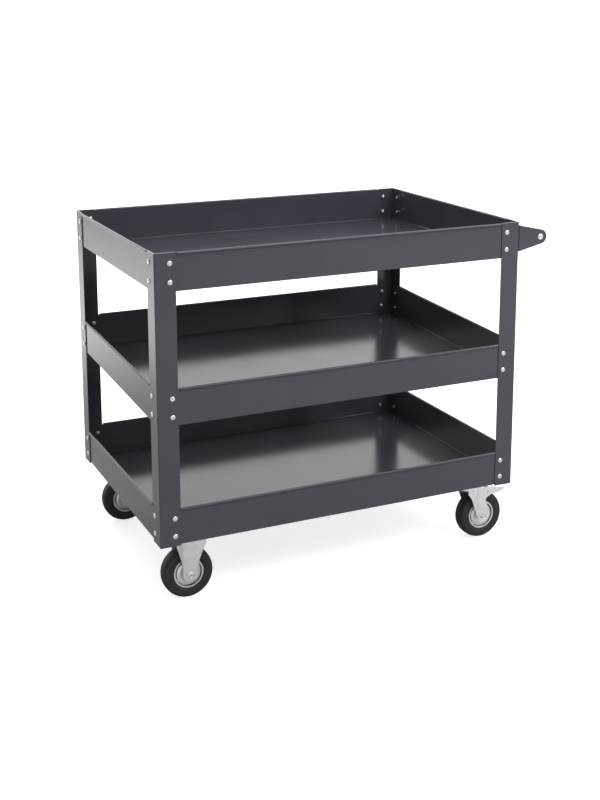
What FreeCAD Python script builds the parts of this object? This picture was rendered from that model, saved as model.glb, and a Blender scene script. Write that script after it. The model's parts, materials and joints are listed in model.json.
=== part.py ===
import FreeCAD, Part
import math
import os

# Tool cart: four angle posts, three folded trays, a push handle, two fixed casters
# and two swivel casters with foot brakes. Millimetres, +Z up, floor at z = 0.
# Cart coordinates, used while modelling: x runs from the left posts to the handle,
# y from the front to the back, both from the outer faces of the posts.
# save() moves every piece so that the origin is the centre of the footprint.

V = FreeCAD.Vector
X_AXIS = V(1, 0, 0)
Y_AXIS = V(0, 1, 0)
Z_AXIS = V(0, 0, 1)

# Frame
LENGTH = 950.0
DEPTH = 646.0
POST_BOTTOM = 163.0
POST_TOP = 848.0
FLANGE = 50.0
POST_SHEET = 2.0
POST_BEND = 3.0

# Trays: rim heights at the front and at the back wall. The back posts are turned end for
# end, so the middle tray sits higher at the back than at the front.
TRAY_RIMS = {
    "top": (848.0, 848.0),
    "middle": (538.5, 563.5),
    "bottom": (254.0, 254.0),
}
TRAY_WALL = 89.0
TRAY_SHEET = 1.2
TRAY_BEND = 1.5
SEAM_GAP = 0.5
END_SETBACK = 1.1
CORNER_RELIEF = 5.0
HEM_START = 53.0
HEM_RADIUS = 3.1
HEM_END = math.radians(-60)
NOTCH_WIDTH = 3.0
NOTCH_DEPTH = 2.5

# Frame screws and their nuts, M6
SCREW_INSET = 36.0
SCREW_DROPS = (24.0, 67.0)
SCREW_RADIUS = 3.0
SCREW_HOLE = 3.3
SCREW_LENGTH = 12.0
HEAD_RADIUS = 6.2
HEAD_HEIGHT = 3.0
CROSS_SPAN = 6.6
CROSS_WIDTH = 1.3
CROSS_DEPTH = 1.6
SCREW_NUT = (10.0, 5.0, 3.03)

# Handle and caster fasteners, M8
BOLT_RADIUS = 4.0
BOLT_HOLE = 4.4
NUT_FLATS = 13.0
NUT_HEIGHT = 6.5
NUT_BORE = 4.03

# Handle
BRACKET_SHEET = 2.5
BRACKET_TOP = 839.2
BRACKET_BOTTOM = 772.6
BRACKET_FLANGE = 47.0
TUBE_X = 1015.0
TUBE_Z = 805.5
TUBE_RADIUS = 10.0
TUBE_BORE = 8.5
EAR_RADIUS = 18.0
PLUG_LENGTH = 22.0
BUTTON_RADIUS = 8.0
BUTTON_HEIGHT = 3.2
SOCKET_FLATS = 5.0

# Casters
CASTER_HEIGHT = 165.0
CASTER_INSET_X = 86.5
CASTER_INSET_Y = 74.4
PLATE_LENGTH = 105.0
PLATE_WIDTH = 80.0
PLATE_SHEET = 3.0
PLATE_HOLES_X = 80.0
PLATE_HOLES_Y = 60.0
FORK_SHEET = 2.2
LEG_FACE = 28.4
TRAIL = 36.0

# Wheels
WHEEL_RADIUS = 62.5
TYRE_HALF = 19.25
HUB_RADIUS = 13.5
HUB_BORE = 10.5
HUB_HALF = 24.0
CAGE_HALF = 20.0
AXLE_SLEEVE = 6.0
RUNNING_GAP = 0.05

# Swivel head
CROWN_RADIUS = 38.5
CROWN_TOP = 151.8
CROWN_EDGE = 142.0
CROWN_SHEET = 3.0
DISH_RADIUS = 36.0
DISH_BOTTOM = 156.2
BALL_PITCH = 27.0
BALL_RADIUS = 3.0
BALL_Z = 154.0
BALL_COUNT = 20
KINGPIN_RADIUS = 6.0

# Foot brake, in coordinates from the swivel axis
PEDAL_PIVOT = (48.5, 127.0)
PEDAL_TRAVEL = 14.0
TREAD_TIP = 136.5
TREAD_TIP_RADIUS = 20.0
RIVET_RADIUS = 3.0
CHEEK_SHEET = 2.0
CHEEK_GAP = 0.5
SHOE_SHEET = 2.5
SHOE_GAP = 0.4

CENTRE_X = (TUBE_X + EAR_RADIUS - HEAD_HEIGHT) / 2
CENTRE_Y = DEPTH / 2


def save(node, shapes):
    """Write one node, moved to the footprint's centre."""
    moved = []
    for shape in shapes:
        copy = shape.copy()
        copy.translate(V(-CENTRE_X, -CENTRE_Y, 0))
        moved.append(copy)
    result = moved[0] if len(moved) == 1 else Part.makeCompound(moved)
    result.exportStep("parts/" + node + ".step")


def moved_to(shape, x=0.0, y=0.0, z=0.0):
    copy = shape.copy()
    copy.translate(V(x, y, z))
    return copy


def fuse(shapes):
    return shapes[0].multiFuse(shapes[1:]).removeSplitter()


def solid_of(shape):
    """The single solid of a boolean result."""
    return shape.Solids[0]


def box(x0, x1, y0, y1, z0, z1):
    return Part.makeBox(x1 - x0, y1 - y0, z1 - z0, V(x0, y0, z0))


def prism(points, direction):
    """Closed polygon through the points, extruded along a vector."""
    wire = Part.makePolygon(list(points) + [points[0]])
    return Part.Face(wire).extrude(direction)


def face_of(edges):
    return Part.Face(Part.Wire(edges))


def line(a, b):
    return Part.makeLine(a, b)


def arc(a, b, c):
    return Part.Arc(a, b, c).toShape()


def parallel_edges(shape, axis, test):
    """Straight edges along an axis whose midpoint passes the test."""
    chosen = []
    for edge in shape.Edges:
        if not isinstance(edge.Curve, Part.Line):
            continue
        if abs(abs(edge.Curve.Direction.dot(axis)) - 1) < 1e-6:
            if test(edge.CenterOfMass):
                chosen.append(edge)
    return chosen


def hexagon_prism(flats, height, turn=30.0):
    """Hexagonal bar along +Z from z = 0, with chamfered corners at both ends."""
    corner = flats / math.sqrt(3)
    points = []
    for k in range(6):
        angle = math.radians(turn + 60 * k)
        points.append(V(corner * math.cos(angle), corner * math.sin(angle), 0))
    bar = prism(points, V(0, 0, height))
    chamfer = (corner - flats / 2) * 0.9
    rim = chamfer * math.tan(math.radians(30))
    profile = [
        V(0, 0, 0),
        V(flats / 2, 0, 0),
        V(corner + 0.1, 0, rim),
        V(corner + 0.1, 0, height - rim),
        V(flats / 2, 0, height),
        V(0, 0, height),
    ]
    turned = Part.Face(Part.makePolygon(profile + [profile[0]])).revolve(V(0, 0, 0), Z_AXIS, 360)
    return solid_of(bar.common(turned))


def aim(shape, point, outward):
    """Place a piece modelled along +Z so that +Z points outward from a point."""
    copy = shape.copy()
    turn = FreeCAD.Placement(point, FreeCAD.Rotation(Z_AXIS, outward))
    copy.Placement = turn.multiply(copy.Placement)
    return copy


# ---------------------------------------------------------------- frame screws

def pan_screw(length):
    """Pan head screw with a cross recess: head above z = 0, shank below it."""
    head_edges = [
        line(V(0, 0, -length), V(SCREW_RADIUS - 0.8, 0, -length)),
        line(V(SCREW_RADIUS - 0.8, 0, -length), V(SCREW_RADIUS, 0, 0.8 - length)),
        line(V(SCREW_RADIUS, 0, 0.8 - length), V(SCREW_RADIUS, 0, 0)),
        line(V(SCREW_RADIUS, 0, 0), V(HEAD_RADIUS, 0, 0)),
        line(V(HEAD_RADIUS, 0, 0), V(HEAD_RADIUS, 0, 0.8)),
        arc(V(HEAD_RADIUS, 0, 0.8), V(4.2, 0, 2.4), V(0, 0, HEAD_HEIGHT)),
        line(V(0, 0, HEAD_HEIGHT), V(0, 0, -length)),
    ]
    body = face_of(head_edges).revolve(V(0, 0, 0), Z_AXIS, 360)
    recess_floor = HEAD_HEIGHT - CROSS_DEPTH
    slots = []
    for dx, dy in ((CROSS_SPAN / 2, CROSS_WIDTH / 2), (CROSS_WIDTH / 2, CROSS_SPAN / 2)):
        slots.append(box(-dx, dx, -dy, dy, recess_floor, HEAD_HEIGHT + 1))
    taper = Part.makeCone(CROSS_WIDTH, CROSS_SPAN / 2 + 1, CROSS_DEPTH + 1, V(0, 0, recess_floor))
    return solid_of(body.cut(fuse(slots).common(taper)))


def hex_nut(flats, height, bore):
    """Hexagon nut from z = 0 down to minus its height."""
    nut = hexagon_prism(flats, height)
    nut = nut.cut(Part.makeCylinder(bore, height + 2, V(0, 0, -1)))
    return moved_to(solid_of(nut), z=-height)


def rim_height(tray, y):
    front, back = TRAY_RIMS[tray]
    return front + (back - front) * y / DEPTH


def screw_sites(tray):
    """Points on the outer post faces, with outward directions, of one tray's screws."""
    sites = []
    for drop in SCREW_DROPS:
        for x in (SCREW_INSET, LENGTH - SCREW_INSET):
            for y, outward in ((0.0, -Y_AXIS), (DEPTH, Y_AXIS)):
                sites.append((V(x, y, rim_height(tray, y) - drop), outward))
        for y in (SCREW_INSET, DEPTH - SCREW_INSET):
            for x, outward in ((0.0, -X_AXIS), (LENGTH, X_AXIS)):
                sites.append((V(x, y, rim_height(tray, y) - drop), outward))
    return sites


def drill(shape, sites, reach):
    """Screw holes through a piece near the given sites."""
    cutters = []
    for point, outward in sites:
        cutter = Part.makeCylinder(SCREW_HOLE, 2 * reach, point - outward * reach, outward)
        cutters.append(cutter)
    return solid_of(shape.cut(Part.makeCompound(cutters)))


def build_frame_screws():
    screw = pan_screw(SCREW_LENGTH)
    nut = hex_nut(*SCREW_NUT)
    grip = POST_SHEET + TRAY_SHEET
    for tray in TRAY_RIMS:
        screws = []
        nuts = []
        for point, outward in screw_sites(tray):
            under_head = point
            if tray == "top" and outward.x > 0.5:
                under_head = point + outward * BRACKET_SHEET
            screws.append(aim(screw, under_head, outward))
            nuts.append(aim(nut, point - outward * grip, outward))
        save("screws_" + tray, screws)
        save("nuts_" + tray, nuts)


# ---------------------------------------------------------------- posts

def corner_post():
    """Angle post of the front left corner, without holes."""
    height = POST_TOP - POST_BOTTOM
    outer = box(0, FLANGE, 0, FLANGE, POST_BOTTOM, POST_TOP)
    inner = box(POST_SHEET, FLANGE + 1, POST_SHEET, FLANGE + 1, POST_BOTTOM - 1, POST_TOP + 1)
    angle = solid_of(outer.cut(inner))
    outside = parallel_edges(angle, Z_AXIS, lambda p: p.x < 0.1 and p.y < 0.1)
    angle = angle.makeFillet(POST_BEND, outside)
    inside = parallel_edges(
        angle, Z_AXIS, lambda p: abs(p.x - POST_SHEET) < 0.1 and abs(p.y - POST_SHEET) < 0.1
    )
    angle = angle.makeFillet(POST_BEND - POST_SHEET, inside)
    return angle


def build_posts():
    post = corner_post()
    sites = []
    for tray in TRAY_RIMS:
        sites += screw_sites(tray)
    middle = V(LENGTH / 2, DEPTH / 2, 0)
    for side, mirror_x in (("left", False), ("right", True)):
        for end, mirror_y in (("front", False), ("back", True)):
            piece = post.copy()
            if mirror_x:
                piece = piece.mirror(middle, X_AXIS)
            if mirror_y:
                piece = piece.mirror(middle, Y_AXIS)
            save("post_" + end + "_" + side, [drill(piece, sites, 5.0)])


# ---------------------------------------------------------------- trays

def pan(tray):
    """Open pan of one sheet: bottom, four walls, slit corners, rolled bottom edges."""
    slope = V(0, DEPTH, rim_height(tray, DEPTH) - rim_height(tray, 0))
    slope.normalize()
    wall = POST_SHEET
    x0, x1 = wall, LENGTH - wall
    y0, y1 = wall, DEPTH - wall

    def block(inset, lower, upper):
        ya, yb = y0 + inset, y1 - inset
        za = rim_height(tray, ya) - TRAY_WALL
        zb = rim_height(tray, yb) - TRAY_WALL
        outline = [
            V(x0 + inset, ya, za + lower),
            V(x0 + inset, yb, zb + lower),
            V(x0 + inset, yb, zb + upper),
            V(x0 + inset, ya, za + upper),
        ]
        solid = prism(outline, V(x1 - x0 - 2 * inset, 0, 0))
        bottom = []
        for edge in solid.Edges:
            middle = edge.CenterOfMass
            level = rim_height(tray, middle.y) - TRAY_WALL + lower
            if abs(middle.z - level) < 0.01:
                bottom.append(edge)
        return solid.makeFillet(TRAY_BEND + TRAY_SHEET - inset, bottom)

    outer = block(0.0, 0.0, TRAY_WALL)
    inner = block(TRAY_SHEET, TRAY_SHEET, TRAY_WALL + 20)
    shell = outer.cut(inner)

    cutters = []
    for x in (x0, x1):
        inward = 1 if x == x0 else -1
        for y in (y0, y1):
            into = 1 if y == y0 else -1
            floor = rim_height(tray, y) - TRAY_WALL
            xs = sorted((x - inward, x + inward * (TRAY_SHEET + 0.2)))
            ys = sorted((y + into * TRAY_SHEET, y + into * (TRAY_SHEET + SEAM_GAP)))
            cutters.append(box(xs[0], xs[1], ys[0], ys[1], floor - 2, floor + TRAY_WALL + 5))
            xs = sorted((x - inward, x + inward * END_SETBACK))
            ys = sorted((y - into, y + into * (TRAY_SHEET + SEAM_GAP)))
            cutters.append(box(xs[0], xs[1], ys[0], ys[1], floor - 2, floor + TRAY_WALL + 5))
            xs = sorted((x - inward, x + inward * CORNER_RELIEF))
            ys = sorted((y - into, y + into * CORNER_RELIEF))
            cutters.append(box(xs[0], xs[1], ys[0], ys[1], floor - 2, floor + CORNER_RELIEF))
    return solid_of(shell.cut(Part.makeCompound(cutters)))


def hem_outline(across, up):
    """Closed section of a wall top curled outwards: across runs outwards, up is +Z."""
    inner = HEM_RADIUS - TRAY_SHEET

    def at(a, u):
        return across * a + up * u

    def curl(radius, angle):
        return at(inner + radius * math.cos(angle), radius * math.sin(angle) - HEM_RADIUS)

    edges = [
        line(at(-TRAY_SHEET, -HEM_RADIUS - 1), at(-TRAY_SHEET, -HEM_RADIUS)),
        arc(at(-TRAY_SHEET, -HEM_RADIUS), at(inner, 0), curl(HEM_RADIUS, 0)),
        arc(curl(HEM_RADIUS, 0), curl(HEM_RADIUS, HEM_END / 2), curl(HEM_RADIUS, HEM_END)),
        line(curl(HEM_RADIUS, HEM_END), curl(inner, HEM_END)),
        arc(curl(inner, HEM_END), curl(inner, HEM_END / 2), curl(inner, 0)),
        arc(curl(inner, 0), at(inner, -TRAY_SHEET), at(0, -HEM_RADIUS)),
        line(at(0, -HEM_RADIUS), at(0, -HEM_RADIUS - 1)),
        line(at(0, -HEM_RADIUS - 1), at(-TRAY_SHEET, -HEM_RADIUS - 1)),
    ]
    return face_of(edges)


def build_trays():
    for tray in TRAY_RIMS:
        shell = pan(tray)
        hems = []
        cutters = []
        for y, outward in ((POST_SHEET, -Y_AXIS), (DEPTH - POST_SHEET, Y_AXIS)):
            rim = rim_height(tray, y)
            run = LENGTH - 2 * HEM_START
            section = hem_outline(outward, Z_AXIS)
            hem = section.extrude(V(run, 0, 0))
            hems.append(moved_to(hem, HEM_START, y, rim))
            ys = sorted((y + outward.y, y - outward.y * (TRAY_SHEET + 0.3)))
            cutters.append(
                box(HEM_START, HEM_START + run, ys[0], ys[1], rim - HEM_RADIUS, rim + 5)
            )
            for x in (HEM_START - NOTCH_WIDTH, LENGTH - HEM_START):
                cutters.append(
                    box(x, x + NOTCH_WIDTH, ys[0], ys[1], rim - NOTCH_DEPTH, rim + 5)
                )
        for x, outward in ((POST_SHEET, -X_AXIS), (LENGTH - POST_SHEET, X_AXIS)):
            start = rim_height(tray, HEM_START)
            end = rim_height(tray, DEPTH - HEM_START)
            run = DEPTH - 2 * HEM_START
            section = hem_outline(outward, Z_AXIS)
            hem = section.extrude(V(0, run, end - start))
            hems.append(moved_to(hem, x, HEM_START, start))
            xs = sorted((x + outward.x, x - outward.x * (TRAY_SHEET + 0.3)))
            outline = [
                V(xs[0], HEM_START, start - HEM_RADIUS),
                V(xs[0], HEM_START + run, end - HEM_RADIUS),
                V(xs[0], HEM_START + run, end + 5),
                V(xs[0], HEM_START, start + 5),
            ]
            cutters.append(prism(outline, V(xs[1] - xs[0], 0, 0)))
            for y in (HEM_START - NOTCH_WIDTH, DEPTH - HEM_START):
                rim = rim_height(tray, y + NOTCH_WIDTH / 2)
                cutters.append(
                    box(xs[0], xs[1], y, y + NOTCH_WIDTH, rim - NOTCH_DEPTH, rim + 5)
                )
        shell = solid_of(shell.cut(Part.makeCompound(cutters)))
        shell = fuse([shell] + hems)
        save("tray_" + tray, [drill(solid_of(shell), screw_sites(tray), 5.0)])


# ---------------------------------------------------------------- handle

def tangent_point(px, pz, cx, cz, radius, side):
    """Where a line from a point touches a circle; side +1 is the upper one."""
    dx, dz = px - cx, pz - cz
    away = math.atan2(dz, dx)
    spread = math.acos(radius / math.hypot(dx, dz))
    angle = away - side * spread
    return cx + radius * math.cos(angle), cz + radius * math.sin(angle)


def handle_bracket():
    """Front bracket: a flange on the post's side and a tapered ear flush with its face."""
    x0 = LENGTH
    sheet = BRACKET_SHEET
    tip = TUBE_X + EAR_RADIUS + 1
    flange = box(x0, x0 + sheet, 0, BRACKET_FLANGE, BRACKET_BOTTOM, BRACKET_TOP)
    ear = box(x0, tip, 0, sheet, BRACKET_BOTTOM, BRACKET_TOP)
    angle = solid_of(fuse([flange, ear]))
    outside = parallel_edges(angle, Z_AXIS, lambda p: p.x < x0 + 0.1 and p.y < 0.1)
    angle = angle.makeFillet(sheet + TRAY_BEND, outside)
    inside = parallel_edges(
        angle, Z_AXIS, lambda p: abs(p.x - x0 - sheet) < 0.1 and abs(p.y - sheet) < 0.1
    )
    angle = angle.makeFillet(TRAY_BEND, inside)
    corners = parallel_edges(angle, X_AXIS, lambda p: p.y > BRACKET_FLANGE - 0.1)
    angle = angle.makeFillet(6.0, corners)

    upper = tangent_point(x0, BRACKET_TOP, TUBE_X, TUBE_Z, EAR_RADIUS, 1)
    lower = tangent_point(x0, BRACKET_BOTTOM, TUBE_X, TUBE_Z, EAR_RADIUS, -1)
    y = -1.0
    corner_top = V(x0, y, BRACKET_TOP)
    corner_bottom = V(x0, y, BRACKET_BOTTOM)
    behind_top = V(x0 - 1, y, BRACKET_TOP)
    behind_bottom = V(x0 - 1, y, BRACKET_BOTTOM)
    upper_point = V(upper[0], y, upper[1])
    lower_point = V(lower[0], y, lower[1])
    edges = [
        line(behind_top, corner_top),
        line(corner_top, upper_point),
        arc(upper_point, V(TUBE_X + EAR_RADIUS, y, TUBE_Z), lower_point),
        line(lower_point, corner_bottom),
        line(corner_bottom, behind_bottom),
        line(behind_bottom, behind_top),
    ]
    keep_flange = box(x0 - 1, x0 + sheet + TRAY_BEND, 1.5, 60, BRACKET_BOTTOM, BRACKET_TOP)
    keep_ear = face_of(edges).extrude(V(0, sheet + 1.0, 0))
    piece = solid_of(angle.common(fuse([keep_ear, keep_flange])))
    bolt_hole = Part.makeCylinder(BOLT_HOLE, 10, V(TUBE_X, -5, TUBE_Z), Y_AXIS)
    return solid_of(piece.cut(bolt_hole))


def button_screw():
    """Button head screw with a hexagon socket: head above z = 0."""
    length = 18.0
    edges = [
        line(V(0, 0, -length), V(BOLT_RADIUS - 0.8, 0, -length)),
        line(V(BOLT_RADIUS - 0.8, 0, -length), V(BOLT_RADIUS, 0, 0.8 - length)),
        line(V(BOLT_RADIUS, 0, 0.8 - length), V(BOLT_RADIUS, 0, 0)),
        line(V(BOLT_RADIUS, 0, 0), V(BUTTON_RADIUS, 0, 0)),
        line(V(BUTTON_RADIUS, 0, 0), V(BUTTON_RADIUS, 0, 0.7)),
        arc(V(BUTTON_RADIUS, 0, 0.7), V(6.4, 0, 2.4), V(4.0, 0, BUTTON_HEIGHT)),
        line(V(4.0, 0, BUTTON_HEIGHT), V(0, 0, BUTTON_HEIGHT)),
        line(V(0, 0, BUTTON_HEIGHT), V(0, 0, -length)),
    ]
    body = face_of(edges).revolve(V(0, 0, 0), Z_AXIS, 360)
    corner = SOCKET_FLATS / math.sqrt(3)
    points = []
    for k in range(6):
        points.append(V(corner * math.cos(k * math.pi / 3), corner * math.sin(k * math.pi / 3), 0.9))
    socket = prism(points, V(0, 0, BUTTON_HEIGHT))
    return solid_of(body.cut(socket))


def build_handle():
    bracket = drill(handle_bracket(), screw_sites("top"), 8.0)
    save("handle_bracket_front", [bracket])
    mirrored = bracket.mirror(V(0, DEPTH / 2, 0), Y_AXIS)
    save("handle_bracket_back", [mirrored])

    start = BRACKET_SHEET
    span = DEPTH - 2 * BRACKET_SHEET
    tube = Part.makeCylinder(TUBE_RADIUS, span, V(TUBE_X, start, TUBE_Z), Y_AXIS)
    bore = Part.makeCylinder(TUBE_BORE, span + 2, V(TUBE_X, start - 1, TUBE_Z), Y_AXIS)
    save("handle_tube", [solid_of(tube.cut(bore))])

    plugs = []
    for y in (start, start + span - PLUG_LENGTH):
        plug = Part.makeCylinder(TUBE_BORE - 0.02, PLUG_LENGTH, V(TUBE_X, y, TUBE_Z), Y_AXIS)
        thread = Part.makeCylinder(NUT_BORE, PLUG_LENGTH + 2, V(TUBE_X, y - 1, TUBE_Z), Y_AXIS)
        plugs.append(solid_of(plug.cut(thread)))
    save("handle_plugs", plugs)

    screw = button_screw()
    front = aim(screw, V(TUBE_X, 0, TUBE_Z), -Y_AXIS)
    back = aim(screw, V(TUBE_X, DEPTH, TUBE_Z), Y_AXIS)
    save("handle_screws", [front, back])


# ---------------------------------------------------------------- casters: shared pieces

def plate_hole_centres():
    centres = []
    for x in (-PLATE_HOLES_X / 2, PLATE_HOLES_X / 2):
        for y in (-PLATE_HOLES_Y / 2, PLATE_HOLES_Y / 2):
            centres.append((x, y))
    return centres


def mounting_plate():
    """Rectangular plate with four slots, its top at the caster's height."""
    bottom = CASTER_HEIGHT - PLATE_SHEET
    half_x, half_y = PLATE_LENGTH / 2, PLATE_WIDTH / 2
    plate = box(-half_x, half_x, -half_y, half_y, bottom, CASTER_HEIGHT)
    corners = parallel_edges(plate, Z_AXIS, lambda p: True)
    plate = plate.makeFillet(8.0, corners)
    slot_radius = BOLT_HOLE
    slot_reach = 1.5
    cutters = []
    for x, y in plate_hole_centres():
        ends = []
        for dx in (-slot_reach, slot_reach):
            ends.append(Part.makeCylinder(slot_radius, 10, V(x + dx, y, bottom - 3)))
        middle = box(x - slot_reach, x + slot_reach, y - slot_radius, y + slot_radius,
                     bottom - 3, bottom + 7)
        cutters.append(fuse(ends + [middle]))
    return solid_of(plate.cut(Part.makeCompound(cutters)))


def pressed_leg(outline, panel_from, panel_to, reach_from, reach_to, flare, thickness):
    """One fork leg on the -Y side: a flat panel with wings flaring outwards.

    outline is a closed face in the XZ plane; the panel lies between panel_from and
    panel_to, the wings run on to reach_from and reach_to with the given flare.
    """
    tilt = math.atan(flare)
    nx, ny = thickness * math.sin(tilt), thickness * math.cos(tilt)
    shift = thickness * math.tan(tilt / 2)
    face_y = -LEG_FACE
    left_y = face_y - flare * (panel_from - reach_from)
    right_y = face_y - flare * (reach_to - panel_to)
    low, high = -5.0, CASTER_HEIGHT + 5
    points = [
        V(reach_from, left_y, low),
        V(panel_from, face_y, low),
        V(panel_to, face_y, low),
        V(reach_to, right_y, low),
        V(reach_to + nx, right_y + ny, low),
        V(panel_to + shift, face_y + thickness, low),
        V(panel_from - shift, face_y + thickness, low),
        V(reach_from - nx, left_y + ny, low),
    ]
    if reach_to <= panel_to:
        points = points[:3] + [V(panel_to, face_y + thickness, low)] + points[6:]
    strip = prism(points, V(0, 0, high - low))
    folds = []
    for x in (panel_from, panel_to):
        if x == panel_to and reach_to <= panel_to:
            continue
        folds += parallel_edges(
            strip, Z_AXIS, lambda p, x=x: abs(p.x - x) < 0.05 and abs(p.y - face_y) < 0.05
        )
    strip = strip.makeFillet(1.5, folds)
    cutter = outline.extrude(V(0, -200, 0))
    return solid_of(strip.common(cutter))


def mirrored_pair(leg):
    return [leg, leg.mirror(V(0, 0, 0), Y_AXIS)]


def axle_hole(axle_x):
    return Part.makeCylinder(BOLT_HOLE, 100, V(axle_x, -50, WHEEL_RADIUS), Y_AXIS)


def axle_pieces(axle_x):
    """Hexagon bolt from the front, nut at the back and the sleeve between the legs."""
    head = hexagon_prism(NUT_FLATS, 5.3)
    washer_face = Part.makeCylinder(6.2, 0.6)
    reach = 2 * LEG_FACE + NUT_HEIGHT + 3
    shank = Part.makeCylinder(BOLT_RADIUS, reach, V(0, 0, -reach))
    bolt = solid_of(fuse([moved_to(head, z=0.6), washer_face, shank]))
    bolt = aim(bolt, V(axle_x, -LEG_FACE, WHEEL_RADIUS), -Y_AXIS)
    nut = hex_nut(NUT_FLATS, NUT_HEIGHT, NUT_BORE)
    nut = aim(nut, V(axle_x, LEG_FACE + NUT_HEIGHT, WHEEL_RADIUS), Y_AXIS)
    inside = 2 * (LEG_FACE - FORK_SHEET)
    start = V(axle_x, -inside / 2, WHEEL_RADIUS)
    sleeve = Part.makeCylinder(AXLE_SLEEVE, inside, start, Y_AXIS)
    bore = Part.makeCylinder(NUT_BORE, inside + 2, start - Y_AXIS, Y_AXIS)
    return bolt, nut, solid_of(sleeve.cut(bore))


# ---------------------------------------------------------------- casters: fixed

def fixed_fork():
    """Plate and two tapered legs of one pressing; axle on the plate's centre line."""
    top = CASTER_HEIGHT - PLATE_SHEET
    panel = 16.8
    waist = 17.5
    shoulder = 36.0
    end_radius = 16.5
    y = 100.0
    axle = WHEEL_RADIUS
    left_top = V(-shoulder - 1.5, y, top + 1)
    right_top = V(shoulder + 1.5, y, top + 1)
    left_shoulder = V(-shoulder, y, 141)
    right_shoulder = V(shoulder, y, 141)
    left_waist = V(-waist, y, 78)
    right_waist = V(waist, y, 78)
    left_end = V(-end_radius, y, axle)
    right_end = V(end_radius, y, axle)
    outline = face_of([
        line(left_top, left_shoulder),
        arc(left_shoulder, V(-26.0, y, 112), left_waist),
        line(left_waist, left_end),
        arc(left_end, V(0, y, axle - end_radius), right_end),
        line(right_end, right_waist),
        arc(right_waist, V(26.0, y, 112), right_shoulder),
        line(right_shoulder, right_top),
        line(right_top, left_top),
    ])
    leg = pressed_leg(outline, -panel, panel, -shoulder - 8, shoulder + 8, 0.58, FORK_SHEET)
    leg = solid_of(leg.common(box(-60, 60, -PLATE_WIDTH / 2, 0, 0, top)))
    web_x = PLATE_HOLES_X / 2 - NUT_FLATS / 2 - 1
    web = box(-web_x, web_x, -LEG_FACE, LEG_FACE, top - FORK_SHEET, top)
    piece = fuse(mirrored_pair(leg) + [web, mounting_plate()])
    return solid_of(solid_of(piece).cut(axle_hole(0)))


# ---------------------------------------------------------------- casters: swivel

def swivel_plate():
    """Mounting plate pressed down in the middle into a dish with a ball groove."""
    plate = mounting_plate()
    plate_bottom = CASTER_HEIGHT - PLATE_SHEET
    wall = DISH_RADIUS - PLATE_SHEET
    plate = plate.cut(Part.makeCylinder(wall, 20, V(0, 0, plate_bottom - 5)))
    profile = [
        V(KINGPIN_RADIUS, 0, DISH_BOTTOM),
        V(DISH_RADIUS - 1.5, 0, DISH_BOTTOM),
        V(DISH_RADIUS, 0, DISH_BOTTOM + 1.5),
        V(DISH_RADIUS, 0, plate_bottom + 1),
        V(wall, 0, plate_bottom + 1),
        V(wall, 0, DISH_BOTTOM + PLATE_SHEET),
        V(KINGPIN_RADIUS, 0, DISH_BOTTOM + PLATE_SHEET),
    ]
    dish = Part.Face(Part.makePolygon(profile + [profile[0]])).revolve(V(0, 0, 0), Z_AXIS, 360)
    groove = Part.makeTorus(BALL_PITCH, BALL_RADIUS + RUNNING_GAP, V(0, 0, BALL_Z))
    piece = solid_of(fuse([solid_of(plate), dish]))
    return solid_of(piece.cut(groove))


def kingpin():
    """Headed pin: head below the crown, peened over inside the dish."""
    under_crown = CROWN_TOP - CROWN_SHEET - 0.3
    dish_floor = DISH_BOTTOM + PLATE_SHEET
    profile = [
        V(0, 0, under_crown - 5),
        V(8, 0, under_crown - 5),
        V(10, 0, under_crown - 3),
        V(10, 0, under_crown),
        V(KINGPIN_RADIUS, 0, under_crown),
        V(KINGPIN_RADIUS, 0, dish_floor),
        V(9, 0, dish_floor),
        V(9, 0, dish_floor + 1.5),
        V(7, 0, dish_floor + 4),
        V(0, 0, dish_floor + 4),
    ]
    return Part.Face(Part.makePolygon(profile + [profile[0]])).revolve(V(0, 0, 0), Z_AXIS, 360)


def crown():
    """Round head of the swivel fork with a turned-down edge and a ball groove."""
    hole = KINGPIN_RADIUS + RUNNING_GAP
    sheet = CROWN_SHEET
    corner = 6.0
    inner = corner - sheet
    bend_x = CROWN_RADIUS - corner
    bend_z = CROWN_TOP - corner
    s = math.sqrt(0.5)
    edges = [
        line(V(hole, 0, CROWN_TOP), V(bend_x, 0, CROWN_TOP)),
        arc(V(bend_x, 0, CROWN_TOP), V(bend_x + corner * s, 0, bend_z + corner * s),
            V(CROWN_RADIUS, 0, bend_z)),
        line(V(CROWN_RADIUS, 0, bend_z), V(CROWN_RADIUS, 0, CROWN_EDGE)),
        line(V(CROWN_RADIUS, 0, CROWN_EDGE), V(CROWN_RADIUS - sheet, 0, CROWN_EDGE)),
        line(V(CROWN_RADIUS - sheet, 0, CROWN_EDGE), V(CROWN_RADIUS - sheet, 0, bend_z)),
        arc(V(CROWN_RADIUS - sheet, 0, bend_z), V(bend_x + inner * s, 0, bend_z + inner * s),
            V(bend_x, 0, CROWN_TOP - sheet)),
        line(V(bend_x, 0, CROWN_TOP - sheet), V(hole, 0, CROWN_TOP - sheet)),
        line(V(hole, 0, CROWN_TOP - sheet), V(hole, 0, CROWN_TOP)),
    ]
    return face_of(edges).revolve(V(0, 0, 0), Z_AXIS, 360)


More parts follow.
